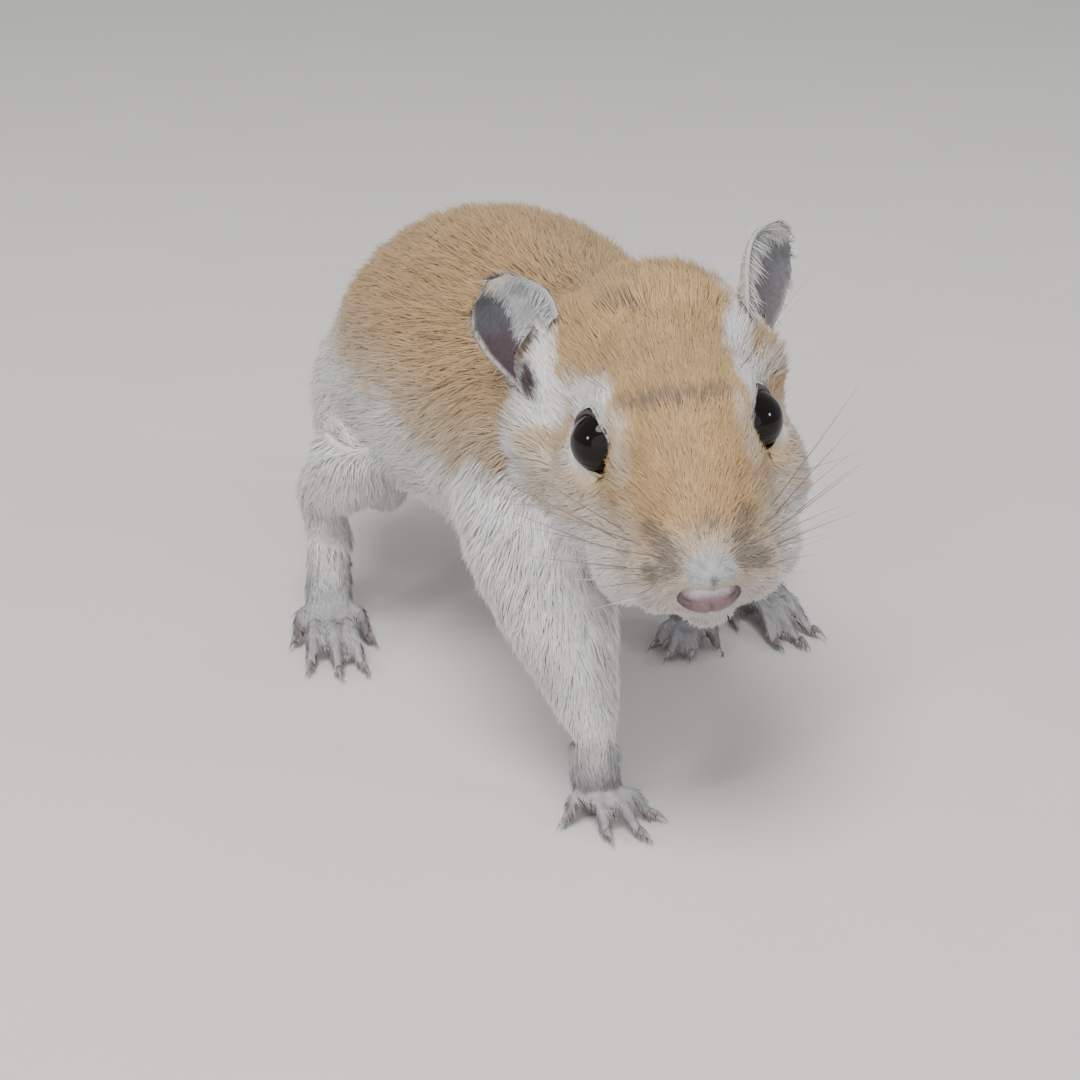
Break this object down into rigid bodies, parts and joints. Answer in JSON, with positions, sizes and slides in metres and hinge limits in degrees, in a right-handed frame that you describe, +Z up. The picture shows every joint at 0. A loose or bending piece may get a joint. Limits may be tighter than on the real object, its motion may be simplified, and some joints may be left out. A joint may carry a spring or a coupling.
{
  "type": "gerbil",
  "caption": "Young Mongolian gerbil, golden above and white below, stepping forward with its head low and its tufted tail laid on the floor",
  "frame": {"origin": "on the floor, under the middle of the animal's bounding box, tail included", "axes": "-Y is forward, the way the animal steps, +Z is up, +X is the animal's left; units metres"},
  "size_m": [0.0688, 0.1758, 0.0528],
  "materials": {
    "coat": "short soft fur, golden above and white below",
    "skin": "thin bare skin, matte",
    "eye": "wet, glossy black",
    "claw": "smooth horn"
  },
  "bodies": {
    "root": {"head": "coat", "neck": "coat", "torso": "coat", "ear_right": "skin", "ear_left": "skin", "eye_right": "eye", "eye_left": "eye", "foreleg_right": "coat", "foreleg_left": "coat", "forepaw_right": "coat", "forepaw_left": "coat", "hindleg_right": "coat", "hindleg_left": "coat", "hindfoot_right": "coat", "hindfoot_left": "coat", "tail_base": "coat", "tail_middle": "coat", "tail_tip": "coat"}
  },
  "joints": []
}
